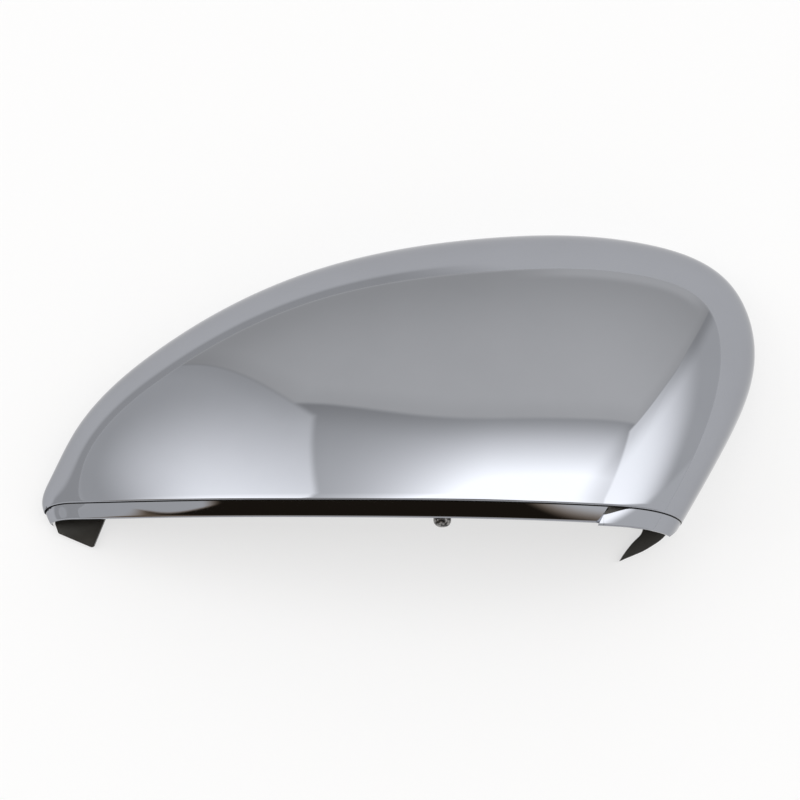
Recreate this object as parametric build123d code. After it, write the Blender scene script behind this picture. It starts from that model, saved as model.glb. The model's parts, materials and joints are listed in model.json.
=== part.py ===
from build123d import *
import os
from math import pi, radians, sin, tan

# Wing mirror cover: one moulded shell with a recessed lip, lying on its rear rim.
# +X runs to the inboard end, +Y is up on the car, +Z points out of the front of the cover.
# All sizes are in millimetres and degrees.

# Overall form
cover_width = 224.6
rim_height = 103.2
crest_height = 67.0
wall = 2.5

# Rear rim seen from the front: shares of half the width, and of the rim's height from its lowest level
rim_shape = [
    (-0.940, 0.090),
    (-0.982, 0.135),
    (-0.997, 0.180),
    (-0.974, 0.258),
    (-0.902, 0.406),
    (-0.668, 0.652),
    (-0.246, 0.888),
    (0.264, 0.993),
    (0.686, 0.978),
    (0.936, 0.852),
    (1.002, 0.650),
    (0.898, 0.330),
    (0.760, 0.045),
]

# Crest of the front seen from the lip's side: shares of half the width and of the crest's height
crest_shape = [
    (-0.899, 0.10),
    (-0.821, 0.31),
    (-0.580, 0.68),
    (-0.212, 0.92),
    (0.198, 1.02),
    (0.496, 0.89),
    (0.641, 0.72),
    (0.694, 0.42),
    (0.705, 0.14),
]
crest_drop = 2.4

# Section of the skin at the outboard end, half way and at the inboard end
crest_slopes = (5.9, 7.0, 3.1)
crown_shares = (0.59, 0.59, 0.485)
shoulder_shares = (0.79, 0.57, 0.40)
stations = 32
end_crowding = 0.1

# Lower edge of the outer skin, in the same shares as the rim
lip_line_shape = [
    (-1.040, 0.098),
    (-0.996, 0.128),
    (-0.981, 0.158),
    (-0.955, 0.170),
    (-0.880, 0.174),
    (-0.530, 0.166),
    (0.110, 0.154),
    (0.535, 0.143),
    (0.705, 0.126),
    (0.830, 0.074),
]

# Slanting cut across the inboard end of the skin and the lip, in the same shares
end_cut_shape = [(0.791, 0.113), (0.732, 0.070)]

# Recessed lip below that edge, in a long stretch and a short inboard stretch that lies deeper.
# Each stretch bites into the inside of the outer skin, over a strip above the edge.
lip_height = 5.0
lip_wall = 2.0
lip_bite = 1.0
short_lip_height = 5.8
short_lip_bite = 0.2
short_lip_share = 0.534
lip_overlap = 2.2

# Tilt of the long lip against the skin above it, which fades out between two places along a section
lip_draft = 15.0
draft_fade_start = 0.70
draft_fade_end = 0.87

# Flange turned in round the rear rim, between two shares of the rim's length
flange_width = 5.0
flange_thickness = 2.2
flange_start_share = 0.030
flange_end_share = 0.968
flange_stations = 16

# Tabs at the ends of the flange, measured from the rim's outboard end and from its inboard end
outer_tab = [(-1.5, 18.9), (-2.3, 3.0), (-1.2, 0.0), (9.7, -4.6), (13.5, 4.9), (13.5, 18.9)]
inner_tab_back = [
    (0.8, 14.0),
    (0.6, 7.6),
    (-1.6, 3.7),
    (-5.4, 0.8),
    (-8.1, -0.8),
    (-10.8, -2.0),
    (-15.8, -4.1),
]
inner_tab_front = [(-14.7, -2.3), (-13.0, 0.0), (-10.8, 2.5), (-8.9, 4.4), (-8.0, 7.4), (-8.0, 16.0)]
tab_corner_radius = 1.0

# Locating peg under the lip, on a thicker boss
peg_diameter = 5.2
peg_reach = 2.4
peg_chamfer = 0.5
peg_share = 0.115
boss_diameter = 10.0
boss_length = 14.0
boss_setback = 0.6
boss_bite = 0.6

# Snap hooks behind the rim, at shares of the rim's length
hook_shares = [0.22, 0.37, 0.52, 0.67, 0.82]
hook_width = 12.0
hook_thickness = 2.0
hook_gap = 7.0
hook_foot = 5.0
barb_depth = 2.0
barb_rise = 2.2
barb_land = 0.9
barb_height = 4.5
gusset_thickness = 1.6
gusset_foot = 14.0

half_width = cover_width / 2
rim_base = -rim_height / 2
crest_level = rim_base - crest_drop
lip_step = wall - lip_bite
short_lip_step = wall - short_lip_bite
short_lip_start = short_lip_share * half_width
foot_drop = 1.0
clear = 10.0
far = 2 * cover_width
rim = Spline(*[(x * half_width, rim_base + y * rim_height, 0) for x, y in rim_shape])
crest = Spline(*[(x * half_width, crest_level, z * crest_height) for x, z in crest_shape])
lip_line = Spline(*[(x * half_width, rim_base + y * rim_height, 0) for x, y in lip_line_shape])
lip_places = [lip_line.position_at(i / 200) for i in range(201)]


def rail_points(share):
    """Points of the rim and the crest that one section of the skin joins."""
    foot = rim.position_at(share * rim.length, position_mode=PositionMode.LENGTH)
    top = crest.position_at(share * crest.length, position_mode=PositionMode.LENGTH)
    return foot, top


def along_rails(values, share):
    """Value at a share of the rails, from those at the outboard end, half way and at the inboard end."""
    start, half, end = values
    first = start * (1 - share) * (1 - 2 * share)
    return first + 4 * half * share * (1 - share) + end * share * (2 * share - 1)


def inset_corner(before, corner, after, inset):
    """Corner of a section's control polygon after both its legs move in by the inset."""
    first = (corner - before).normalized()
    second = (after - corner).normalized()
    middle = (first + second).normalized()
    return corner + Vector(middle.Y, -middle.X) * (inset / first.dot(middle))


def section_controls(share, inset, crown_inset=0, crest_inset=0):
    """Control points of one section of the skin, moved in from the outer face by the inset.

    The last two points take a further inset each, which tilts the front end of the section.
    """
    foot, top = rail_points(share)
    across = Vector(top.X - foot.X, top.Y - foot.Y, 0)
    run = across.length
    rise = top.Z
    shoulder = rise * along_rails(shoulder_shares, share)
    crown = run * along_rails(crown_shares, share)
    slope = tan(radians(along_rails(crest_slopes, share)))
    outer = [
        Vector(0, -foot_drop),
        Vector(0, shoulder / 2),
        Vector(0, shoulder),
        Vector(run - crown, rise - crown * slope),
        Vector(run, rise),
    ]
    moved = [
        outer[0] + Vector(inset, 0),
        outer[1] + Vector(inset, 0),
        inset_corner(outer[1], outer[2], outer[3], inset),
        inset_corner(outer[2], outer[3], outer[4], inset + crown_inset),
        outer[4] - Vector(0, inset + crest_inset),
    ]
    inward = across.normalized()
    return [foot + inward * p.X + Vector(0, 0, p.Y) for p in moved]


def section_point(controls, t):
    """Point of a section from its control points."""
    weights = [(1 - t) ** 4, 4 * t * (1 - t) ** 3, 6 * t**2 * (1 - t) ** 2, 4 * t**3 * (1 - t), t**4]
    point = Vector(0, 0, 0)
    for corner, weight in zip(controls, weights):
        point = point + corner * weight
    return point


def lip_level(across):
    """Level of the lip line on the car at a place across."""
    for before, after in zip(lip_places, lip_places[1:]):
        if across <= after.X:
            break
    return before.Y + (after.Y - before.Y) * (across - before.X) / (after.X - before.X)


def edge_place(share, level):
    """Where a section of the outer face comes down to a level over the lip line, from 0 to 1."""
    controls = section_controls(share, 0)
    low = 0.0
    high = 1.0
    for _ in range(24):
        middle = (low + high) / 2
        point = section_point(controls, middle)
        if point.Y > lip_level(point.X) + level:
            low = middle
        else:
            high = middle
    return low


def lip_controls(share, inset):
    """Control points of one section of the long lip, which turns down by its draft from the lip line on."""
    edge = max(edge_place(share, 0), 0.5)
    controls = section_controls(share, 0)
    pace = (section_point(controls, edge + 0.0001) - section_point(controls, edge - 0.0001)).length / 0.0002
    fade = min(max((edge - draft_fade_start) / (draft_fade_end - draft_fade_start), 0), 1)
    slide = tan(radians(lip_draft)) * fade**2 * (3 - 2 * fade) * pace
    return section_controls(share, inset, -slide / (4 * edge**2), slide * (1 - edge) / edge**3)


def station_share(number):
    """Share of the rails at a station; the stations crowd together towards both ends."""
    even = number / stations
    return even - end_crowding * sin(2 * pi * even)


def skin(outer_inset, inner_inset, controls=section_controls):
    """Curved wall between two insets from the outer face."""
    faces = []
    for i in range(stations + 1):
        outer = controls(station_share(i), outer_inset)
        inner = controls(station_share(i), inner_inset)
        edges = [
            Edge.make_bezier(*outer),
            Edge.make_line(outer[-1], inner[-1]),
            Edge.make_bezier(*reversed(inner)),
            Edge.make_line(inner[0], outer[0]),
        ]
        faces.append(Face(Wire(edges)))
    return loft(faces)


def core(inset):
    """Solid space under the skin, bounded by the outer face moved in by the inset."""
    faces = []
    for i in range(stations + 1):
        outer = section_controls(station_share(i), inset)
        below = Vector(outer[-1].X, outer[-1].Y, outer[0].Z)
        edges = [
            Edge.make_bezier(*outer),
            Edge.make_line(outer[-1], below),
            Edge.make_line(below, outer[0]),
        ]
        faces.append(Face(Wire(edges)))
    return loft(faces)


def band(upper, lower, start, end):
    """Upright block between two shifted copies of the lip line, cut off at two places across."""
    top_edge = Pos(0, upper, 0) * lip_line
    low_edge = Pos(0, lower, 0) * lip_line
    sides = [
        Edge.make_line(top_edge @ 0, low_edge @ 0),
        Edge.make_line(top_edge @ 1, low_edge @ 1),
    ]
    height = crest_height + 2 * clear
    block = Pos(0, 0, -clear) * extrude(make_face([top_edge, low_edge, *sides]), height)
    window = Box(end - start, far, far, align=(Align.MIN, Align.CENTER, Align.CENTER))
    return block & (Pos(start, 0, 0) * window)


def end_cut():
    """Upright block beyond the slanting cut at the inboard end."""
    outer, inner = [Vector(x * half_width, rim_base + y * rim_height, 0) for x, y in end_cut_shape]
    along = (inner - outer).normalized()
    away = Vector(-along.Y, along.X, 0)
    start = outer - along * clear
    corners = [start, inner + along * clear, inner + along * clear + away * far, start + away * far]
    return Pos(0, 0, -clear) * extrude(make_face(Polyline(*corners, close=True)), crest_height + 2 * clear)


def rim_normal(share):
    """Point of the rim and the level direction that points into the cover there."""
    place = rim.position_at(share * rim.length, position_mode=PositionMode.LENGTH)
    along = rim.tangent_at(share * rim.length, position_mode=PositionMode.LENGTH)
    return place, Vector(along.Y, -along.X, 0)


def rim_offset(inset):
    """Level curve that follows the rim inside it, over the length of the flange."""
    points = []
    for i in range(flange_stations + 1):
        share = flange_start_share + (flange_end_share - flange_start_share) * i / flange_stations
        place, inward = rim_normal(share)
        points.append(place + inward * inset)
    return Spline(*points)


def flange():
    """Turned-in flange round the rear rim with its two end tabs."""
    outside = rim_offset(wall / 2)
    inside = rim_offset(wall + flange_width)
    ends = [Edge.make_line(outside @ 0, inside @ 0), Edge.make_line(outside @ 1, inside @ 1)]
    ring = make_face([outside, inside, *ends])
    outboard = Pos(rim @ 0) * make_face(Polyline(*outer_tab, close=True))
    outboard = fillet(outboard.vertices().sort_by(Axis.Y)[:2], tab_corner_radius)
    back = Spline(*inner_tab_back)
    front = Spline(*inner_tab_front)
    sides = [Edge.make_line(back @ 1, front @ 0), Edge.make_line(front @ 1, back @ 0)]
    inboard = Pos(rim @ 1) * make_face([back, front, *sides])
    plates = [extrude(face, flange_thickness) for face in (ring, outboard, inboard)]
    return plates[0] + plates[1] + plates[2]


def hook(share):
    """Snap hook that hangs from the inside of the skin, with a gusset to the wall."""
    place, inward = rim_normal(share)
    frame = Plane(origin=place, x_dir=inward, z_dir=inward.cross(Vector(0, 0, 1)))
    near = wall + hook_gap
    tip = near + hook_thickness
    middle = near + hook_thickness / 2
    arm = Polyline(
        (near, hook_foot),
        (tip, hook_foot),
        (tip + barb_depth, hook_foot + barb_rise),
        (tip + barb_depth, hook_foot + barb_rise + barb_land),
        (tip, hook_foot + barb_height),
        (tip, crest_height),
        (near, crest_height),
        close=True,
    )
    gusset = Polyline(
        (0, gusset_foot + near),
        (middle, gusset_foot),
        (middle, crest_height),
        (0, crest_height),
        close=True,
    )
    blade = extrude(frame * make_face(arm), hook_width / 2, both=True)
    web = extrude(frame * make_face(gusset), gusset_thickness / 2, both=True)
    return blade + web


def locating_peg():
    """Peg that points down past the lip, on a boss that bites into the lip from below."""
    across = peg_share * half_width
    lip_edge = (lip_line & Line((across, far, 0), (across, -far, 0))).center()
    ends = []
    for i in range(101):
        ends.append(section_point(section_controls(i / 100, 0), edge_place(i / 100, -lip_height)))
    lip_end = min(ends, key=lambda point: abs(point.X - across))
    underside = lip_end.Z - lip_step - lip_wall - lip_height * tan(radians(lip_draft))
    height = underside + boss_bite - boss_diameter / 2
    boss_end = lip_edge.Y - lip_height + boss_setback
    upright = (Align.CENTER, Align.CENTER, Align.MIN)
    boss = Cylinder(boss_diameter / 2, boss_length, align=upright)
    peg = Cylinder(peg_diameter / 2, boss_length + boss_setback + peg_reach, align=upright)
    peg = chamfer(peg.edges().sort_by(Axis.Z)[-1], peg_chamfer)
    return Pos(across, boss_end + boss_length, height) * Rot(90, 0, 0) * (boss + peg)


main_skin = skin(0, wall) - band(0, -far, -far, far)
long_lip = skin(lip_step, lip_step + lip_wall, lip_controls)
long_lip = long_lip & band(lip_overlap, -lip_height, -far, short_lip_start)
short_lip = skin(short_lip_step, short_lip_step + lip_wall)
short_lip = short_lip & band(lip_overlap, -short_lip_height, short_lip_start, far)
inside = core(wall / 2)
shell = main_skin + long_lip + short_lip - end_cut()
cover = shell + flange() + (locating_peg() & inside)
for share in hook_shares:
    cover = cover + (hook(share) & inside)
cover = cover - Box(far, far, far, align=(Align.CENTER, Align.CENTER, Align.MAX))

# The origin is the middle of the cover's base
middle = cover.bounding_box().center()
cover = Pos(-middle.X, -middle.Y, 0) * cover

os.makedirs("parts", exist_ok=True)
export_step(cover, "parts/mirror_cover.step")
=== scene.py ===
"""Wing mirror cover: bright skin with a stepped lip, dull inside with flange, tabs and hooks, and a stage."""

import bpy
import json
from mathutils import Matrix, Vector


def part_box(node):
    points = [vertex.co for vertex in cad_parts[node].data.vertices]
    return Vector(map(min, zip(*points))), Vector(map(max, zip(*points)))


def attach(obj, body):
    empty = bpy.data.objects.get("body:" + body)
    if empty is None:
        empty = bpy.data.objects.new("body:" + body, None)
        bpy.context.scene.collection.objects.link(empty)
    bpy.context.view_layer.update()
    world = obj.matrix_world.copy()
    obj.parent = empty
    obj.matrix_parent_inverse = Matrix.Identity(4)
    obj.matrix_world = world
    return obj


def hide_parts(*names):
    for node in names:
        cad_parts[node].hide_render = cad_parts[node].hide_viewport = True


bl_info = {
    "name": "Wing Mirror Cover",
    "version": (1, 0, 0),
    "blender": (4, 5, 0),
    "location": "View3D > Sidebar > Mirror Cover",
    "description": "Builds a plated wing mirror cover with its stepped lip, hooks and studio stage",
    "category": "Object",
}

import json
from math import cos, pi, radians, sin, tan

import bmesh
import bpy
import numpy as np
from bpy.props import FloatProperty, FloatVectorProperty, IntProperty, PointerProperty
from mathutils import Vector
from mathutils.bvhtree import BVHTree

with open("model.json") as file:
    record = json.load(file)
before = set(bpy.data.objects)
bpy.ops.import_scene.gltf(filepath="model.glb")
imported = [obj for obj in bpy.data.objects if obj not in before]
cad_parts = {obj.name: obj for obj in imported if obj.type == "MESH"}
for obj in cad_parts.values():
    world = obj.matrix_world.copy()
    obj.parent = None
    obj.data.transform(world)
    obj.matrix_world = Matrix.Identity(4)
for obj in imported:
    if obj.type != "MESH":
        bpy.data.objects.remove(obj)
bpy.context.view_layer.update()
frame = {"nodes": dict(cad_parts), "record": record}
MM = 0.001

# Outlines in shares of half the cover's width, of the rim's height and of the crest's height
RIM_SHAPE = [
    (-0.940, 0.090), (-0.982, 0.135), (-0.997, 0.180), (-0.974, 0.258), (-0.902, 0.406),
    (-0.668, 0.652), (-0.246, 0.888), (0.264, 0.993), (0.686, 0.978), (0.936, 0.852),
    (1.002, 0.650), (0.898, 0.330), (0.760, 0.045),
]
CREST_SHAPE = [
    (-0.899, 0.10), (-0.821, 0.31), (-0.580, 0.68), (-0.212, 0.92), (0.198, 1.02),
    (0.496, 0.89), (0.641, 0.72), (0.694, 0.42), (0.705, 0.14),
]
LIP_LINE_SHAPE = [
    (-1.040, 0.098), (-0.996, 0.128), (-0.981, 0.158), (-0.955, 0.170), (-0.880, 0.174),
    (-0.530, 0.166), (0.110, 0.154), (0.535, 0.143), (0.705, 0.126), (0.830, 0.074),
]
END_CUT_SHAPE = [(0.791, 0.113), (0.732, 0.070)]

# Section of the skin at the outboard end, half way and at the inboard end: slope at the crest in degrees,
# and the shares of the section's width and height that its crown and its shoulder take
CREST_SLOPES = (5.9, 7.0, 3.1)
CROWN_SHARES = (0.59, 0.59, 0.485)
SHOULDER_SHARES = (0.79, 0.57, 0.40)

# How far the crest lies below the rim's base on the car, and the section's foot below the floor
CREST_DROP = 2.4 * MM
FOOT_DROP = 1.0 * MM

# Places of the skin's edge along its section between which the draft sets in, and the least place counted
DRAFT_FADE = (0.70, 0.87)
LEAST_EDGE = 0.5

# Search along a section: halvings of the span, place by which every section is off the floor, small step
HALVINGS = 46
FLOOR_LIMIT = 0.4
NUDGE = 1e-4

# One row of points without inset, level or lean
NONE = np.zeros(1)

# Rows of points down the lip's outside, from the skin's edge to the lip's lower corner
EDGE_ROWS = 7
LEDGE_ROWS = 4
GROOVE_ROWS = 3
FACE_ROWS = 12
CORNER_ROWS = 6
UNDER_ROWS = 3

# Height of the groove in shares of its depth
GROOVE_SHARE = 0.7

# Trial sections that find the lip's ends, and the share of the rails past which the short lip may begin
PROBES = 4001
SHORT_LIP_AFTER = 0.3

# How much closer the sections stand at the cover's ends, and the rows of faces at the skin's edge
END_CROWDING = 0.6
EDGE_CROWDING = 0.35

# Gap at which points of a grid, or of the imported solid, are one, and the least size that is kept
GRID_WELD = 2e-6
PACKED_WELD = 1e-6
LEAST_SIZE = 1e-6

# Edges that turn by more than this stay sharp
SKIN_SHARP_ANGLE = radians(32)
FITTINGS_SHARP_ANGLE = radians(28)

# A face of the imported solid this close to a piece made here, and turned alike, is left out
COVERED_GAP = 0.5 * MM
COVERED_COSINE = 0.9

# Peg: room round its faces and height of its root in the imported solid, then faces round it and down its end
PEG_ROOM = 0.2 * MM
PEG_ROOT = 1.3 * MM
PEG_SIDES = 40
NOSE_ROWS = 8

# Stage: half the floor's width, its drop under the cover, and the camera's aim beside the cover's middle
FLOOR_REACH = 3.0
FLOOR_DROP = 0.1 * MM
CAMERA_AIM = (0.6 * MM, 0.1 * MM, 0.0)
SENSOR_WIDTH = 36.0
CLIP_START = 0.01

# Tones as colours with their alpha: plain light, light off the back wall, and light out of the dark gap
WHITE = (1.0, 1.0, 1.0, 1.0)
BACK_LIGHT = (1.0, 0.99, 0.97, 1.0)
GAP_LIGHT = (1.0, 0.75, 0.52, 1.0)


class CoverForm(bpy.types.PropertyGroup):
    """Sizes of the moulded cover"""

    cover_width: FloatProperty(
        name="Width", description="Width of the cover across the car", default=0.2246, unit="LENGTH"
    )
    rim_height: FloatProperty(
        name="Rim height", description="Height of the rear rim on the car", default=0.1032, unit="LENGTH"
    )
    crest_height: FloatProperty(
        name="Crest height", description="Depth of the cover at its crest", default=0.067, unit="LENGTH"
    )
    wall: FloatProperty(
        name="Wall", description="Thickness of the outer skin", default=0.0025, unit="LENGTH"
    )
    lip_height: FloatProperty(
        name="Lip", description="How far the long lip stands out below the skin", default=0.005,
        unit="LENGTH",
    )
    lip_step: FloatProperty(
        name="Lip step", description="How far the long lip lies below the outer face", default=0.0015,
        unit="LENGTH",
    )
    lip_wall: FloatProperty(
        name="Lip wall", description="Thickness of the lip", default=0.002, unit="LENGTH"
    )
    lip_draft: FloatProperty(
        name="Lip draft", description="Tilt of the long lip against the skin above it",
        default=radians(15), subtype="ANGLE",
    )
    lip_overlap: FloatProperty(
        name="Lip overlap", description="How far the lip reaches up inside the skin", default=0.0022,
        unit="LENGTH",
    )
    short_lip_height: FloatProperty(
        name="Short lip", description="How far the inboard lip stands out", default=0.0058, unit="LENGTH"
    )
    short_lip_step: FloatProperty(
        name="Short lip step", description="How far the inboard lip lies below the outer face",
        default=0.0023, unit="LENGTH",
    )
    short_lip_draft: FloatProperty(
        name="Short lip draft", description="Tilt of the inboard lip against the skin above it",
        default=radians(0.8), subtype="ANGLE",
    )
    short_lip_start: FloatProperty(
        name="Short lip start", description="Place across at which the inboard lip begins",
        default=0.05997, unit="LENGTH",
    )
    skin_edge_radius: FloatProperty(
        name="Skin edge", description="Rounding of the skin's lower edge", default=0.00055, unit="LENGTH"
    )
    lip_edge_radius: FloatProperty(
        name="Lip edge", description="Rounding of the lip's lower edge", default=0.0005, unit="LENGTH"
    )
    groove: FloatProperty(
        name="Groove", description="Depth of the groove between the skin's edge and the lip",
        default=0.0004, unit="LENGTH",
    )
    gap_height: FloatProperty(
        name="Gap height", description="How far the groove opens where the inboard lip begins",
        default=0.0025, unit="LENGTH",
    )
    gap_length: FloatProperty(
        name="Gap length", description="Length over which that opening closes again", default=0.009,
        unit="LENGTH",
    )
    peg_nose: FloatProperty(
        name="Peg end", description="Rounding of the locating peg's end", default=0.0021, unit="LENGTH"
    )
    stations: IntProperty(name="Sections", description="Sections along the cover", default=360, min=40)
    skin_rows: IntProperty(
        name="Rows", description="Rows of points from the rim to the lip", default=96, min=12
    )


class PlatingFinish(bpy.types.PropertyGroup):
    """Colours and gloss of the plating"""

    bright_colour: FloatVectorProperty(
        name="Bright plating", description="Colour of the bright outside", subtype="COLOR", size=3,
        default=(0.353, 0.364, 0.394), min=0, max=1,
    )
    edge_colour: FloatVectorProperty(
        name="Bright edge", description="Tint of the bright outside seen at a low angle",
        subtype="COLOR", size=3, default=(0.74, 0.74, 0.75), min=0, max=1,
    )
    bright_roughness: FloatProperty(
        name="Bright roughness", description="Roughness of the bright outside", default=0.03, min=0, max=1,
        subtype="FACTOR",
    )
    orange_peel: FloatProperty(
        name="Orange peel", description="Height of the fine waves in the plating", default=0.000002,
        unit="LENGTH",
    )
    # Near-black colour of the inside: partly its own dark, partly painted shade set to the tabs' tone in the
    # shade under the lip; the groove takes it as painted shade
    dull_and_shade_colour: FloatVectorProperty(
        name="Dull inside", description="Colour of the thinly plated inside", subtype="COLOR", size=3,
        default=(0.045, 0.043, 0.038), min=0, max=1,
    )
    dull_roughness: FloatProperty(
        name="Inside roughness", description="Roughness of the inside", default=0.42, min=0, max=1,
        subtype="FACTOR",
    )
    peg_colour: FloatVectorProperty(
        name="Peg", description="Lightest tone of the mottled plating on the peg", subtype="COLOR", size=3,
        default=(0.27, 0.262, 0.255), min=0, max=1,
    )


class StudioStage(bpy.types.PropertyGroup):
    """Floor, light tent and camera"""

    floor_colour: FloatVectorProperty(
        name="Floor", description="Colour of the floor", subtype="COLOR", size=3,
        default=(0.92, 0.92, 0.92), min=0, max=1,
    )
    tent_level: FloatProperty(
        name="Tent level", description="Brightness of the light tent", default=1.13, min=0
    )
    camera_elevation: FloatProperty(
        name="Elevation", description="Height angle of the camera", default=radians(84), subtype="ANGLE"
    )
    camera_distance: FloatProperty(
        name="Distance", description="Distance of the camera from the cover", default=0.74, unit="LENGTH"
    )
    camera_lens: FloatProperty(
        name="Lens", description="Focal length in millimetres", default=105.0, min=1
    )


def smooth_curve(points, steps=400):
    """Smooth cubic curve through the points, finely sampled; four points give the heading at each end."""
    spots = np.asarray(points, float)
    legs = np.diff(spots, axis=0)
    length = np.linalg.norm(legs, axis=1)
    run = np.concatenate([[0.0], np.cumsum(length)])
    slope = legs / length[:, None]
    rows = np.eye(len(spots))
    right = np.zeros_like(spots)
    right[0] = np.polyfit(run[:4], spots[:4], 3)[2]
    right[-1] = np.polyfit(run[-4:] - run[-1], spots[-4:], 3)[2]
    for i in range(1, len(spots) - 1):
        before, after = length[i - 1], length[i]
        rows[i, i - 1 : i + 2] = after, 2 * (before + after), before
        right[i] = 3 * (after * slope[i - 1] + before * slope[i])
    heading = np.linalg.solve(rows, right)
    t = np.linspace(0, 1, steps, endpoint=False)[:, None]
    spans = []
    for i in range(len(legs)):
        start = (2 * t**3 - 3 * t**2 + 1) * spots[i] + (t**3 - 2 * t**2 + t) * length[i] * heading[i]
        end = (3 * t**2 - 2 * t**3) * spots[i + 1] + (t**3 - t**2) * length[i] * heading[i + 1]
        spans.append(start + end)
    return np.concatenate(spans + [spots[-1:]])


def at_shares(curve, shares):
    """Points of a sampled curve at shares of its length."""
    run = np.concatenate([[0.0], np.cumsum(np.linalg.norm(np.diff(curve, axis=0), axis=1))])
    return np.stack([np.interp(shares * run[-1], run, curve[:, k]) for k in range(curve.shape[1])], 1)


def smoothstep(value, low, high):
    """Soft rise from 0 to 1 between two values."""
    t = np.clip((value - low) / (high - low), 0, 1)
    return t * t * (3 - 2 * t)


def along_rails(values, shares):
    """Value at shares of the rails, from those at the outboard end, half way and at the inboard end."""
    start, half, end = values
    first = start * (1 - shares) * (1 - 2 * shares)
    return first + 4 * half * shares * (1 - shares) + end * shares * (2 * shares - 1)


def quarter(rows):
    """Angles of a quarter turn in this many rows, without its start."""
    return np.linspace(0, pi / 2, rows + 1)[1:]


class CoverSections:
    """Sections of the cover's skin from the rear rim to the crest, in metres.

    A place t along a section is 0 at its foot and 1 at the crest.
    """

    def __init__(self, form):
        half = form.cover_width / 2
        base = -form.rim_height / 2

        def on_rim(shape):
            return [(x * half, base + y * form.rim_height) for x, y in shape]

        self.crest_level = base - CREST_DROP
        self.rim = smooth_curve(on_rim(RIM_SHAPE))
        self.crest = smooth_curve([(x * half, z * form.crest_height) for x, z in CREST_SHAPE])
        self.lip_line = smooth_curve(on_rim(LIP_LINE_SHAPE))
        low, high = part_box("mirror_cover")
        across = (low[0] + high[0]) / 2 - (self.rim[:, 0].min() + self.rim[:, 0].max()) / 2
        self.shift = np.array([across, high[1] - self.rim[:, 1].max(), 0.0])
        self.end_cut = [np.array([x, y, 0.0]) + self.shift for x, y in on_rim(END_CUT_SHAPE)]

    def cut(self, shares, draft):
        """Takes the sections at these shares of the rails, with a lip of this draft.

        A section is a curve with five control points. The moves are the ways in which these go
        when the curve is set in, and the leans are what the draft adds to that.
        """
        self.foot = at_shares(self.rim, shares)
        top = at_shares(self.crest, shares)
        across = np.stack([top[:, 0], np.full(len(shares), self.crest_level)], 1) - self.foot
        run = np.linalg.norm(across, axis=1)
        self.inward = across / run[:, None]
        rise = top[:, 1]
        shoulder = rise * along_rails(SHOULDER_SHARES, shares)
        crown = run * along_rails(CROWN_SHARES, shares)
        slope = np.tan(np.radians(along_rails(CREST_SLOPES, shares)))
        zero = np.zeros_like(run)
        knots = [
            (zero, zero - FOOT_DROP),
            (zero, shoulder / 2),
            (zero, shoulder),
            (run - crown, rise - crown * slope),
            (run, rise),
        ]
        self.knots = np.stack([np.stack(k, 1) for k in knots], 1)
        legs = np.diff(self.knots, axis=1)
        legs /= np.linalg.norm(legs, axis=2)[:, :, None]
        self.moves = np.zeros_like(self.knots)
        self.moves[:, :2, 0] = 1.0
        for k in (2, 3):
            middle = legs[:, k - 1] + legs[:, k]
            middle /= np.linalg.norm(middle, axis=1)[:, None]
            reach = np.einsum("nc,nc->n", legs[:, k - 1], middle)
            self.moves[:, k] = np.stack([middle[:, 1], -middle[:, 0]], 1) / reach[:, None]
        self.moves[:, 4, 1] = -1.0

        # The leans turn the curve by the draft at the skin's edge and leave that edge in place
        self.lean = np.zeros((len(shares), 5))
        edge = self.meet(NONE, NONE, NONE)
        ahead = self.plane(edge + NUDGE, NONE, NONE)
        behind = self.plane(edge - NUDGE, NONE, NONE)
        speed = np.linalg.norm(ahead - behind, axis=2)[:, 0] / (2 * NUDGE)
        edge = np.maximum(edge[:, 0], LEAST_EDGE)
        slide = tan(draft) * smoothstep(edge, *DRAFT_FADE) * speed
        self.lean[:, 3] = -slide / (4 * edge**2)
        self.lean[:, 4] = slide * (1 - edge) / edge**3

    def plane(self, t, inset, lean):
        """Points in the section's own plane: distance from the foot and height."""
        weights = np.stack(
            [(1 - t) ** 4, 4 * t * (1 - t) ** 3, 6 * t**2 * (1 - t) ** 2, 4 * t**3 * (1 - t), t**4], -1
        )
        depth = inset[None, :, None] + lean[None, :, None] * self.lean[:, None, :]
        flat = np.einsum("nmk,nkc->nmc", weights, self.knots)
        return flat + np.einsum("nmk,nmk,nkc->nmc", weights, depth, self.moves)

    def points(self, t, inset, lean):
        """Points in the cover's frame."""
        flat = self.plane(t, inset, lean)
        ground = self.foot[:, None, :] + self.inward[:, None, :] * flat[:, :, :1]
        return np.concatenate([ground, flat[:, :, 1:]], 2)

    def lip_level(self, across):
        """Height of the lip line on the car, at places across it."""
        return np.interp(across, self.lip_line[:, 0], self.lip_line[:, 1])

    def level(self, t, inset, lean):
        """Height on the car above the lip line."""
        spot = self.points(t, inset, lean)
        return spot[:, :, 1] - self.lip_level(spot[:, :, 0])

    def solve(self, test, low, high):
        """Last place along each section at which the test still holds."""
        for _ in range(HALVINGS):
            middle = (low + high) / 2
            holds = test(middle)
            low = np.where(holds, middle, low)
            high = np.where(holds, high, middle)
        return low

    def floor(self, inset, lean):
        """Place along each section at which it leaves the floor."""
        zero = np.zeros((len(self.foot), len(inset)))
        return self.solve(lambda t: self.plane(t, inset, lean)[:, :, 1] < 0, zero, zero + FLOOR_LIMIT)

    def meet(self, inset, level, lean):
        """Place along each section at which it comes down to a level over the lip line."""
        start = self.floor(inset, lean)
        level = np.atleast_2d(level)
        return self.solve(lambda t: self.level(t, inset, lean) > level, start, np.ones_like(start))


def lip_size(form, short):
    """Step and height of the short lip or of the long one."""
    if short:
        return form.short_lip_step, form.short_lip_height
    return form.lip_step, form.lip_height


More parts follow.
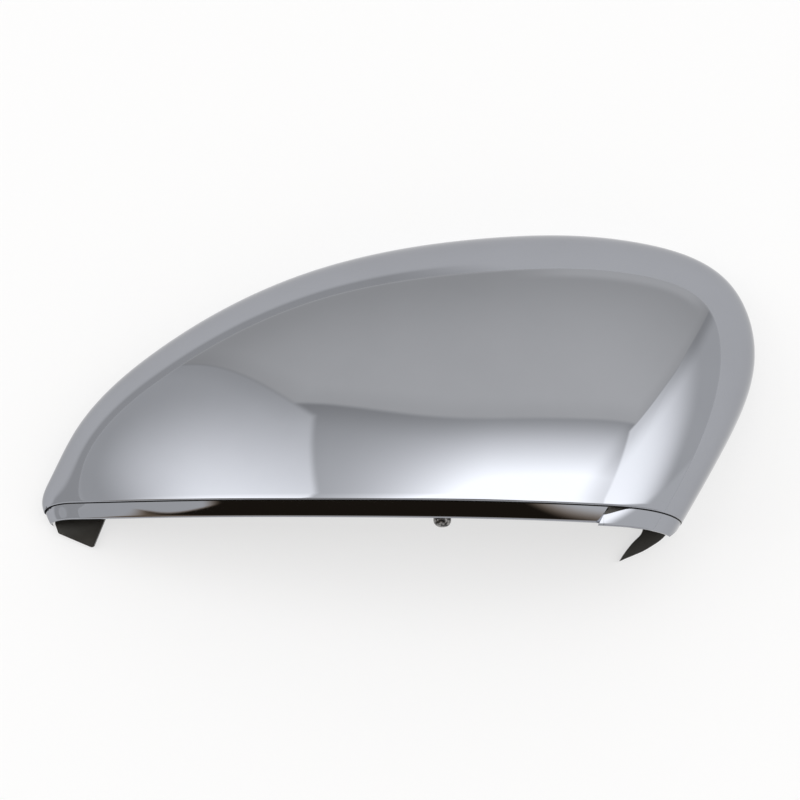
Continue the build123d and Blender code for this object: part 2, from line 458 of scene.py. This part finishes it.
def lip_profile(form, short, across):
    """Insets, levels and leans down the lip's outside, from the skin's edge to the lower corner.

    There is a row of levels for each place across, because the groove opens where the short lip begins.
    """
    step, height = lip_size(form, short)
    skin_radius, lip_radius = form.skin_edge_radius, form.lip_edge_radius
    turn, bend = quarter(EDGE_ROWS), quarter(CORNER_ROWS)
    deepest = step + form.groove
    inset = [
        skin_radius - skin_radius * np.cos(turn),
        np.linspace(skin_radius, deepest, LEDGE_ROWS + 1)[1:],
        np.linspace(deepest, step, GROOVE_ROWS + 1)[1:],
        np.full(FACE_ROWS, step),
        step + lip_radius - lip_radius * np.cos(bend),
        np.linspace(step + lip_radius, step + form.lip_wall, UNDER_ROWS + 1)[1:],
    ]
    opening = 1 - smoothstep(across, form.short_lip_start, form.short_lip_start + form.gap_length)
    groove_end = -form.groove * GROOVE_SHARE - opening * form.gap_height * short
    count = len(across)
    face_end = lip_radius - height
    edge = np.concatenate([skin_radius - skin_radius * np.sin(turn), np.zeros(LEDGE_ROWS)])
    corner = np.concatenate([face_end - lip_radius * np.sin(bend), np.full(UNDER_ROWS, -height)])
    level = [
        np.tile(edge, (count, 1)),
        np.linspace(0, groove_end, GROOVE_ROWS + 1, axis=1)[:, 1:],
        np.linspace(groove_end, np.full(count, face_end), FACE_ROWS + 1, axis=1)[:, 1:],
        np.tile(corner, (count, 1)),
    ]
    inset = np.concatenate(inset)
    lean = np.ones(len(inset))
    lean[: EDGE_ROWS + LEDGE_ROWS] = 0
    return inset, np.concatenate(level, 1), lean


def inside_profile(form, short):
    """Insets, levels and leans of the lip's inside, from its lower corner up to the skin's inside."""
    step, height = lip_size(form, short)
    deep, top = step + form.lip_wall, form.lip_overlap
    inset = np.concatenate([np.full(FACE_ROWS, deep), np.linspace(deep, form.wall, UNDER_ROWS + 1)[1:]])
    level = np.concatenate([np.linspace(-height, top, FACE_ROWS), np.full(UNDER_ROWS, top)])
    lean = np.concatenate([np.ones(FACE_ROWS), np.linspace(1, 0, UNDER_ROWS + 1)[1:]])
    return inset, level, lean


def lip_stations(form, sections):
    """Shares of the rails for the sections over the long lip, and for those over the short one."""
    probe = np.linspace(0, 1, PROBES)
    sections.cut(probe, form.lip_draft)
    outboard = probe < 0.5
    step = np.where(outboard, form.lip_step, form.short_lip_step)
    height = np.where(outboard, form.lip_height, form.short_lip_height)
    lip_foot = sections.foot + sections.inward * step[:, None]
    alive = probe[lip_foot[:, 1] > sections.lip_level(lip_foot[:, 0]) - height]
    edge = sections.meet(NONE, np.array([-form.lip_height / 2]), NONE)
    across = sections.points(edge, NONE, NONE)[:, 0, 0]
    change = probe[np.argmax((across > form.short_lip_start) & (probe > SHORT_LIP_AFTER))]
    spread = np.linspace(0, 1, form.stations)
    spread = spread - END_CROWDING * np.sin(2 * pi * spread) / (2 * pi)
    shares = alive[0] + (alive[-1] - alive[0]) * spread
    return np.append(shares[shares < change], change), np.append(change, shares[shares > change])


def outside_points(form, sections, short):
    """Points over the skin and the outside of the lip."""
    rows = np.linspace(0, 1, form.skin_rows)
    rows = rows * (1 + EDGE_CROWDING - EDGE_CROWDING * rows)
    low = sections.floor(NONE, NONE)
    high = sections.meet(NONE, np.array([form.skin_edge_radius]), NONE)
    flat = np.zeros(form.skin_rows)
    skin = sections.points(low + (high - low) * rows, flat, flat)
    edge = sections.points(sections.meet(NONE, NONE, NONE), NONE, NONE)
    inset, level, lean = lip_profile(form, short, edge[:, 0, 0])
    lip = sections.points(sections.meet(inset, level, lean), inset, lean)
    return np.concatenate([skin, lip], 1)


def inside_points(form, sections, short):
    """Points over the inside of the lip and of the skin."""
    inset, level, lean = inside_profile(form, short)
    lip = sections.points(sections.meet(inset, level, lean), inset, lean)
    wall = np.array([form.wall])
    low = sections.floor(wall, NONE)
    high = sections.meet(wall, np.array([form.lip_overlap]), NONE)
    rows = np.linspace(0, 1, form.skin_rows)[1:]
    deep = np.full(len(rows), form.wall)
    skin = sections.points(high + (low - high) * rows, deep, np.zeros(len(rows)))
    return np.concatenate([lip, skin], 1)


def cover_grid(form, points_of):
    """Grid of points over one side of the cover, and the two ends of the slanting cut."""
    sections = CoverSections(form)
    long_lip, short_lip = lip_stations(form, sections)
    parts = []
    for shares, draft, short in ((long_lip, form.lip_draft, False), (short_lip, form.short_lip_draft, True)):
        sections.cut(shares, draft)
        parts.append(points_of(form, sections, short))
    return np.concatenate(parts) + sections.shift, sections.end_cut


def grid_mesh(name, grid, end_cut, second_rows=()):
    """Mesh over a grid of points up to the end cut, without faces flat on the floor.

    The second rows are rows of faces that take the piece's second finish.
    """
    stations, rows = grid.shape[:2]
    index = np.arange(stations * rows).reshape(stations, rows)
    quads = np.stack([index[:-1, :-1], index[1:, :-1], index[1:, 1:], index[:-1, 1:]], -1).reshape(-1, 4)
    points = grid.reshape(-1, 3)
    lifted = points[quads][:, :, 2].max(1) > LEAST_SIZE
    mesh = bpy.data.meshes.new(name)
    mesh.from_pydata(points.tolist(), [], quads[lifted].tolist())
    second = np.isin(np.arange(len(quads)) % (rows - 1), list(second_rows))
    mesh.polygons.foreach_set("material_index", second[lifted].astype(np.int32))
    work = bmesh.new()
    work.from_mesh(mesh)
    bmesh.ops.remove_doubles(work, verts=work.verts, dist=GRID_WELD)
    bmesh.ops.dissolve_degenerate(work, edges=work.edges, dist=LEAST_SIZE)
    outer, inner = end_cut
    along = inner - outer
    away = Vector((-along[1], along[0], 0))
    parts = work.verts[:] + work.edges[:] + work.faces[:]
    bmesh.ops.bisect_plane(
        work, geom=parts, dist=LEAST_SIZE / 10, plane_co=outer, plane_no=away, clear_outer=True
    )
    loose = [v for v in work.verts if not v.link_faces]
    bmesh.ops.delete(work, geom=loose, context="VERTS")
    work.to_mesh(mesh)
    work.free()
    mesh.shade_smooth()
    mesh.set_sharp_from_angle(angle=SKIN_SHARP_ANGLE)
    return mesh


def add_piece(mesh, *finishes):
    """Places a piece of the cover in the scene."""
    piece = bpy.data.objects.new(mesh.name, mesh)
    bpy.context.scene.collection.objects.link(piece)
    for finish in finishes:
        mesh.materials.append(finish)
    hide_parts("mirror_cover")
    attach(piece, "root")
    return piece


class NodeBench:
    """Short ways to lay out shader nodes."""

    def __init__(self, tree):
        self.tree = tree
        self.tree.nodes.clear()

    def add(self, kind, **settings):
        """A new node with its settings."""
        node = self.tree.nodes.new(kind)
        for key, value in settings.items():
            setattr(node, key, value)
        return node

    def feed(self, socket, value):
        """Links an output to a socket, or sets the socket to a plain value."""
        if isinstance(value, bpy.types.NodeSocket):
            self.tree.links.new(value, socket)
        else:
            socket.default_value = value

    def calc(self, operation, *values):
        """Result of one calculation."""
        node = self.add("ShaderNodeMath", operation=operation)
        for socket, value in zip(node.inputs, values):
            self.feed(socket, value)
        return node.outputs[0]

    def ramp(self, value, low, high, start=0.0, end=1.0):
        """Soft change from start to end as the value goes from low to high."""
        node = self.add("ShaderNodeMapRange", interpolation_type="SMOOTHSTEP")
        for socket, setting in zip(node.inputs, (value, low, high, start, end)):
            self.feed(socket, setting)
        return node.outputs[0]

    def mix(self, factor, first, second):
        """Colour between two colours."""
        node = self.add("ShaderNodeMix", data_type="RGBA")
        self.feed(node.inputs[0], factor)
        self.feed(node.inputs[6], first)
        self.feed(node.inputs[7], second)
        return node.outputs[2]

    def noise(self, place, scale, detail, roughness=0.5):
        """Soft random pattern."""
        node = self.add("ShaderNodeTexNoise")
        self.feed(node.inputs["Vector"], place)
        node.inputs["Scale"].default_value = scale
        node.inputs["Detail"].default_value = detail
        node.inputs["Roughness"].default_value = roughness
        return node.outputs["Fac"]

    def bump(self, height, strength, distance):
        """Surface direction over a pattern of heights."""
        node = self.add("ShaderNodeBump")
        node.inputs["Strength"].default_value = strength
        node.inputs["Distance"].default_value = distance
        self.feed(node.inputs["Height"], height)
        return node.outputs[0]

    def show(self, kind, shader):
        """Wires a shader to a new output of this kind."""
        output = self.add(kind)
        self.feed(output.inputs["Surface"], shader.outputs[0])


def shade(colour, share):
    """A colour made lighter or darker."""
    return tuple(min(1.0, c * share) for c in colour) + (1.0,)


def new_finish(name):
    """New material, its bench, and places on the object for its patterns."""
    material = bpy.data.materials.new(name)
    material.use_nodes = True
    bench = NodeBench(material.node_tree)
    return material, bench, bench.add("ShaderNodeTexCoord").outputs["Object"]


def bright_plating(finish):
    """Bright chrome: faint waves in the plating, and a trace of haze and wiping marks."""
    material, bench, place = new_finish("bright_plating")
    shader = bench.add("ShaderNodeBsdfPrincipled")
    shader.inputs["Metallic"].default_value = 1.0
    shader.inputs["Specular Tint"].default_value = shade(finish.edge_colour, 1.0)
    haze = bench.noise(place, scale=22.0, detail=4.0, roughness=0.6)
    stretched = bench.add("ShaderNodeMapping")
    bench.feed(stretched.inputs["Vector"], place)
    stretched.inputs["Scale"].default_value = (60.0, 900.0, 300.0)
    wipes = bench.noise(stretched.outputs[0], scale=1.0, detail=3.0, roughness=0.6)
    level = finish.bright_roughness
    base = bench.ramp(haze, 0.35, 0.75, level * 0.7, level * 1.5)
    marks = bench.ramp(wipes, 0.60, 0.80, 0.0, level * 0.6)
    bench.feed(shader.inputs["Roughness"], bench.calc("ADD", base, marks))
    light, dark = shade(finish.bright_colour, 1.02), shade(finish.bright_colour, 0.97)
    bench.feed(shader.inputs["Base Color"], bench.mix(bench.ramp(haze, 0.3, 0.8), light, dark))
    waves = bench.noise(place, scale=420.0, detail=2.0)
    bench.feed(shader.inputs["Normal"], bench.bump(waves, 0.25, finish.orange_peel))
    bench.show("ShaderNodeOutputMaterial", shader)
    return material


def dull_plating_and_shade(finish):
    """Thin, dull plating over the moulding's grain, as the inside has it; its near-black colour is partly
    painted shade, as dark as the tabs in the shade under the lip, and it stands for the shadow in the groove.
    """
    material, bench, place = new_finish("dull_plating_and_shade")
    shader = bench.add("ShaderNodeBsdfPrincipled")
    shader.inputs["Metallic"].default_value = 0.35
    clouds = bench.noise(place, scale=45.0, detail=5.0, roughness=0.6)
    dark, light = shade(finish.dull_and_shade_colour, 0.86), shade(finish.dull_and_shade_colour, 1.22)
    bench.feed(shader.inputs["Base Color"], bench.mix(bench.ramp(clouds, 0.30, 0.72), dark, light))
    level = finish.dull_roughness
    bench.feed(shader.inputs["Roughness"], bench.ramp(clouds, 0.3, 0.7, level * 0.85, level * 1.2))
    grain = bench.noise(place, scale=1400.0, detail=3.0, roughness=0.6)
    bench.feed(shader.inputs["Normal"], bench.bump(grain, 0.35, 0.06 * MM))
    bench.show("ShaderNodeOutputMaterial", shader)
    return material


def mottled_plating(finish):
    """Rough plating on the end of the peg, bright in spots and dark between them."""
    material, bench, place = new_finish("mottled_plating")
    shader = bench.add("ShaderNodeBsdfPrincipled")
    shader.inputs["Metallic"].default_value = 0.9
    spots = bench.noise(place, scale=1500.0, detail=2.0)
    dark, light = shade(finish.peg_colour, 0.14), shade(finish.peg_colour, 1.0)
    bench.feed(shader.inputs["Base Color"], bench.mix(bench.ramp(spots, 0.40, 0.62), dark, light))
    bench.feed(shader.inputs["Roughness"], bench.ramp(spots, 0.35, 0.65, 0.34, 0.16))
    bench.feed(shader.inputs["Normal"], bench.bump(spots, 0.5, 0.1 * MM))
    bench.show("ShaderNodeOutputMaterial", shader)
    return material


def finish_named(name, maker, settings):
    """The finish of that name, made on its first use."""
    return bpy.data.materials.get(name) or maker(settings)


class MIRRORCOVER_OT_skin(bpy.types.Operator):
    """Builds the bright outside: domed skin, its rounded lower edge, a groove in the dark dull finish as
    painted shade, and stepped lip
    """

    bl_idname = "mirror_cover.skin"
    bl_label = "Bright skin and lip"

    def execute(self, context):
        form = context.scene.cover_form
        finish = context.scene.plating_finish
        grid, end_cut = cover_grid(form, outside_points)
        # The ledge and groove rows, with the gap where the inboard lip begins, take the dark dull finish:
        # painted shade for the crease's shadow
        first = form.skin_rows + EDGE_ROWS - 1
        groove = range(first, first + LEDGE_ROWS + GROOVE_ROWS)
        mesh = grid_mesh("bright_skin", grid, end_cut, groove)
        bright = finish_named("bright_plating", bright_plating, finish)
        dull = finish_named("dull_plating_and_shade", dull_plating_and_shade, finish)
        add_piece(mesh, bright, dull)
        return {"FINISHED"}


class MIRRORCOVER_OT_inside(bpy.types.Operator):
    """Builds the dull inside of the skin and of the lip"""

    bl_idname = "mirror_cover.inside"
    bl_label = "Dull inside"

    def execute(self, context):
        grid, end_cut = cover_grid(context.scene.cover_form, inside_points)
        dull = finish_named("dull_plating_and_shade", dull_plating_and_shade, context.scene.plating_finish)
        add_piece(grid_mesh("dull_inside", grid, end_cut), dull)
        return {"FINISHED"}


def surface_tree(name):
    """Search tree over the faces of a piece."""
    work = bmesh.new()
    work.from_mesh(bpy.data.objects[name].data)
    tree = BVHTree.FromBMesh(work)
    work.free()
    return tree


def is_covered(face, trees):
    """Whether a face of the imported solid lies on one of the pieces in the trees."""
    for tree in trees:
        _, normal, _, _ = tree.find_nearest(face.calc_center_median(), COVERED_GAP)
        if normal is not None and abs(normal.dot(face.normal)) > COVERED_COSINE:
            return True
    return False


def round_peg(work, root, radius, nose):
    """Puts a finer peg with a rounded end in place of the peg's visible faces, in the second finish."""
    taken = []
    for face in work.faces:
        middle = face.calc_center_median()
        off_axis = Vector((middle.x - root.x, 0, middle.z - root.z)).length
        if off_axis < radius + PEG_ROOM and middle.y < root.y + PEG_ROOT:
            taken.append(face)
    heights = [v.co.y for face in taken for v in face.verts]
    top, tip = max(heights), min(heights)
    bmesh.ops.delete(work, geom=taken, context="FACES")
    turn = quarter(NOSE_ROWS)
    radii = [radius, radius, *(radius - nose + nose * np.cos(turn))]
    levels = [top, tip + nose, *(tip + nose - nose * np.sin(turn))]
    around = np.linspace(0, 2 * pi, PEG_SIDES, endpoint=False)
    rings = []
    for r, level in zip(radii, levels):
        rings.append([work.verts.new((root.x + r * cos(a), level, root.z + r * sin(a))) for a in around])
    for upper, lower in zip(rings, rings[1:]):
        for k in range(PEG_SIDES):
            work.faces.new((upper[k - 1], upper[k], lower[k], lower[k - 1])).material_index = 1
    work.faces.new(rings[-1]).material_index = 1


class MIRRORCOVER_OT_fittings(bpy.types.Operator):
    """Takes the flange, tabs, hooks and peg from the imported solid, leaving out the skin and the lip"""

    bl_idname = "mirror_cover.fittings"
    bl_label = "Flange, tabs, hooks and peg"

    def execute(self, context):
        mesh = frame["nodes"]["mirror_cover"].data.copy()
        mesh.name = "flange_tabs_hooks_peg"
        mesh.materials.clear()
        trees = [surface_tree(name) for name in ("bright_skin", "dull_inside")]
        work = bmesh.new()
        work.from_mesh(mesh)
        bmesh.ops.remove_doubles(work, verts=work.verts, dist=PACKED_WELD)
        covered = [face for face in work.faces if is_covered(face, trees)]
        bmesh.ops.delete(work, geom=covered, context="FACES")
        for face in work.faces:
            face.material_index = 0
        peg = next(mount for mount in frame["record"]["mounts"] if mount["name"] == "locating_peg")
        nose = context.scene.cover_form.peg_nose
        round_peg(work, Vector(peg["pos_m"]), peg["dims"]["r_mm"] * MM, nose)
        work.to_mesh(mesh)
        work.free()
        mesh.shade_smooth()
        mesh.set_sharp_from_angle(angle=FITTINGS_SHARP_ANGLE)
        finish = context.scene.plating_finish
        dull = finish_named("dull_plating_and_shade", dull_plating_and_shade, finish)
        mottled = finish_named("mottled_plating", mottled_plating, finish)
        add_piece(mesh, dull, mottled)
        return {"FINISHED"}


def floor_finish(colour):
    """Pale matt paper with a painted light falloff, darker far out at the left; a share of its seen tone is
    its own, for light shadows.
    """
    # Tone of the painted light falloff far out at the left, and the share of the seen tone that is the
    # paper's own
    painted_falloff_tone = 0.68
    own_share = 0.65
    material, bench, place = new_finish("floor_paper")
    length = bench.add("ShaderNodeVectorMath", operation="LENGTH")
    bench.feed(length.inputs[0], place)
    reach = length.outputs["Value"]
    split = bench.add("ShaderNodeSeparateXYZ")
    bench.feed(split.inputs[0], place)
    side = bench.calc("DIVIDE", split.outputs["X"], reach)
    # Painted light falloff: the paper and its own glow grow darker far out at the left
    far = bench.calc("MULTIPLY", bench.ramp(reach, 0.18, 0.30), bench.ramp(side, 0.10, -0.20))
    clouds = bench.noise(place, scale=3.0, detail=3.0)
    near_tone = bench.mix(clouds, shade(colour, 0.99), shade(colour, 1.01))
    paper = bench.add("ShaderNodeBsdfPrincipled")
    bench.feed(paper.inputs["Base Color"], bench.mix(far, near_tone, shade(colour, painted_falloff_tone)))
    paper.inputs["Roughness"].default_value = 0.9
    paper.inputs["Specular IOR Level"].default_value = 0.1
    own = bench.add("ShaderNodeEmission")
    # The paper's own glow carries the same painted light falloff
    bench.feed(own.inputs["Color"], bench.mix(far, WHITE, shade(WHITE[:3], painted_falloff_tone)))
    path = bench.add("ShaderNodeLightPath").outputs
    seen = bench.calc("ADD", path["Is Camera Ray"], path["Is Glossy Ray"])
    seen = bench.calc("ADD", seen, path["Is Transmission Ray"])
    blend = bench.add("ShaderNodeMixShader")
    bench.feed(blend.inputs[0], bench.calc("MULTIPLY", seen, own_share))
    bench.feed(blend.inputs[1], paper.outputs[0])
    bench.feed(blend.inputs[2], own.outputs[0])
    bench.show("ShaderNodeOutputMaterial", blend)
    return material


class TentSky(NodeBench):
    """Shader nodes that work out tones by direction: x to the right, y to the back and z up."""

    def __init__(self, tree):
        super().__init__(tree)
        split = self.add("ShaderNodeSeparateXYZ")
        self.feed(split.inputs[0], self.add("ShaderNodeTexCoord").outputs["Generated"])
        self.x, self.y, self.z = split.outputs

    def chain(self, operation, values):
        """Result of one calculation over all the values in turn."""
        result = values[0]
        for value in values[1:]:
            result = self.calc(operation, result, value)
        return result

    def total(self, *values):
        return self.chain("ADD", values)

    def product(self, *values):
        return self.chain("MULTIPLY", values)

    def least(self, *values):
        return self.chain("MINIMUM", values)

    def most(self, *values):
        return self.chain("MAXIMUM", values)

    def size(self, value):
        """A value without its sign."""
        return self.calc("ABSOLUTE", value)

    def rest(self, share):
        """What a share leaves of the whole."""
        return self.calc("SUBTRACT", 1.0, share)

    def plane(self, across, back, up=0.0):
        """Weighted sum of the direction: 0 on a plane through the cover, and more on one side of it."""
        return self.total(self.product(self.x, across), self.product(self.y, back), self.product(self.z, up))

    def cover_with(self, tone, share, value):
        """A tone with a share of another laid over it."""
        return self.total(self.product(tone, self.rest(share)), self.product(share, value))


def tent_tone(sky):
    """Tone of the tent's walls and roof, and the share of the back wall."""
    x, y, z = sky.x, sky.y, sky.z
    ramp, total, product = sky.ramp, sky.total, sky.product

    # Walls of the tent, each up to its corner and to the roof
    to_right = sky.plane(-1.0, 1.17, 0.33)
    to_left = sky.plane(1.0, 0.89, -0.17)
    to_roof = sky.plane(0.29, 1.22, -1.0)
    within = sky.least(to_right, to_left, to_roof)
    back = ramp(within, -0.012, 0.012)
    over_right = sky.plane(1.04, 0.0, -1.0)
    right = ramp(sky.least(product(to_right, -1.0), over_right), -0.012, 0.012)
    over_left = sky.plane(-1.61, 0.0, -1.0)
    left = ramp(sky.least(product(to_left, -1.0), over_left), -0.015, 0.015)

    # Tones of the walls, brighter towards the lamp over the roof, and a bright foot of the back wall
    back_tone = total(ramp(z, 0.05, 0.80, 0.63, 0.87), product(x, 0.05))
    back_foot = product(ramp(z, 0.14, 0.05, 0.0, 0.15), ramp(x, 0.0, 0.2), ramp(x, 0.75, 0.6))
    back_tone = total(back_tone, back_foot)
    left_tone = total(product(ramp(z, 0.09, 0.78, 0.0, 2.4), ramp(y, 0.74, 0.02)), 0.68)
    right_tone = total(product(ramp(z, 0.24, 0.72, 0.0, 1.16), ramp(y, 0.50, -0.10, 1.0, 1.4)), 0.73)
    right_tone = product(right_tone, ramp(to_right, -0.02, -0.22, 0.76, 1.02))

    # Roof with its lamp, dimmer beside the right wall, then the walls over it and the seams between them
    lamp = product(ramp(to_roof, 0.12, -0.78), ramp(x, -0.67, 0.09), ramp(z, 0.92, 0.97, 4.9, 0.5))
    tone = sky.least(total(lamp, 0.42), 2.45)
    beside = product(ramp(to_right, 0.1, -0.1), ramp(sky.size(over_right), 0.24, 0.0, 0.0, 0.28))
    tone = product(tone, sky.rest(beside))
    for share, value in ((left, left_tone), (right, right_tone), (back, back_tone)):
        tone = sky.cover_with(tone, share, value)
    return product(tone, ramp(sky.size(within), 0.0, 0.13, 0.91, 1.0)), back


def tent_front(sky):
    """Share and tone of the tent's front, and the share of the dark gap in it.

    The gap lies between the left wall's end and a pale screen at the right, over a dim front wall.
    """
    ramp, total, product = sky.ramp, sky.total, sky.product
    front = ramp(total(sky.y, product(sky.size(sky.x), 0.055)), 0.03, -0.03)
    wall_foot = sky.most(ramp(sky.plane(-0.6, 1.0), 0.31, 0.325), ramp(sky.x, -0.93, -0.95))
    wall_end = product(ramp(sky.x, -0.73, -0.80), wall_foot)
    screen = ramp(sky.plane(1.0, 1.2), 0.02, 0.14)
    low = ramp(sky.y, -0.45, -0.65)
    gap = sky.rest(sky.most(wall_end, screen, low))
    dark = total(product(ramp(sky.plane(0.25, 1.0), -0.455, -0.50), gap, 0.2), 0.02)
    tone = total(dark, total(product(wall_end, 0.7), product(screen, 0.85)))
    return front, sky.cover_with(tone, low, 0.6), product(front, gap)


def light_tent(world, level):
    """Light tent: grey back, pale sides, bright roof, and a dark gap in front that the lip mirrors."""
    below_tone = 0.78
    world.use_nodes = True
    sky = TentSky(world.node_tree)
    tone, back = tent_tone(sky)
    front, front_tone, gap = tent_front(sky)
    tone = sky.cover_with(tone, front, front_tone)
    tone = sky.cover_with(tone, sky.ramp(sky.z, 0.02, -0.02), below_tone)
    glow = sky.add("ShaderNodeBackground")
    sky.feed(glow.inputs["Color"], sky.mix(gap, sky.mix(back, WHITE, BACK_LIGHT), GAP_LIGHT))
    sky.feed(glow.inputs["Strength"], sky.product(tone, level))
    sky.show("ShaderNodeOutputWorld", glow)


class MIRRORCOVER_OT_stage(bpy.types.Operator):
    """Sets up the floor, the light tent and the camera"""

    bl_idname = "mirror_cover.stage"
    bl_label = "Stage"

    def execute(self, context):
        scene = context.scene
        stage = scene.studio_stage
        mesh = bpy.data.meshes.new("studio_floor")
        corners = [(x * FLOOR_REACH, y * FLOOR_REACH, 0) for x, y in ((-1, -1), (1, -1), (1, 1), (-1, 1))]
        mesh.from_pydata(corners, [], [(0, 1, 2, 3)])
        floor = bpy.data.objects.new("studio_floor", mesh)
        floor.location.z = -FLOOR_DROP
        scene.collection.objects.link(floor)
        mesh.materials.append(floor_finish(stage.floor_colour))
        scene.world = bpy.data.worlds.new("light_tent")
        light_tent(scene.world, stage.tent_level)
        lens = bpy.data.cameras.new("front_camera")
        lens.lens = stage.camera_lens
        lens.sensor_width = SENSOR_WIDTH
        lens.clip_start = CLIP_START
        camera = bpy.data.objects.new("front_camera", lens)
        scene.collection.objects.link(camera)
        target = Vector(CAMERA_AIM) + Vector(CoverSections(scene.cover_form).shift)
        away = Vector((0, -cos(stage.camera_elevation), sin(stage.camera_elevation)))
        camera.location = target + away * stage.camera_distance
        camera.rotation_euler = (-away).to_track_quat("-Z", "Y").to_euler()
        scene.camera = camera
        scene.view_settings.view_transform = "Standard"
        return {"FINISHED"}


class VIEW3D_PT_mirror_cover(bpy.types.Panel):
    """Sidebar panel of the mirror cover"""

    bl_idname = "VIEW3D_PT_mirror_cover"
    bl_label = "Mirror Cover"
    bl_space_type = "VIEW_3D"
    bl_region_type = "UI"
    bl_category = "Mirror Cover"

    def draw(self, context):
        for name in SETTINGS:
            settings = getattr(context.scene, name)
            box = self.layout.box()
            for key in settings.__annotations__:
                box.prop(settings, key)
        for operator in OPERATORS:
            self.layout.operator(operator.bl_idname)


SETTINGS = {"cover_form": CoverForm, "plating_finish": PlatingFinish, "studio_stage": StudioStage}
OPERATORS = (MIRRORCOVER_OT_skin, MIRRORCOVER_OT_inside, MIRRORCOVER_OT_fittings, MIRRORCOVER_OT_stage)


def register():
    for name, group in SETTINGS.items():
        bpy.utils.register_class(group)
        setattr(bpy.types.Scene, name, PointerProperty(type=group))
    for operator in OPERATORS:
        bpy.utils.register_class(operator)
    bpy.utils.register_class(VIEW3D_PT_mirror_cover)


def unregister():
    bpy.utils.unregister_class(VIEW3D_PT_mirror_cover)
    for operator in reversed(OPERATORS):
        bpy.utils.unregister_class(operator)
    for name, group in reversed(SETTINGS.items()):
        delattr(bpy.types.Scene, name)
        bpy.utils.unregister_class(group)


def main():
    register()
    bpy.ops.mirror_cover.skin()
    bpy.ops.mirror_cover.inside()
    bpy.ops.mirror_cover.fittings()
    bpy.ops.mirror_cover.stage()


if __name__ == "__main__":
    main()
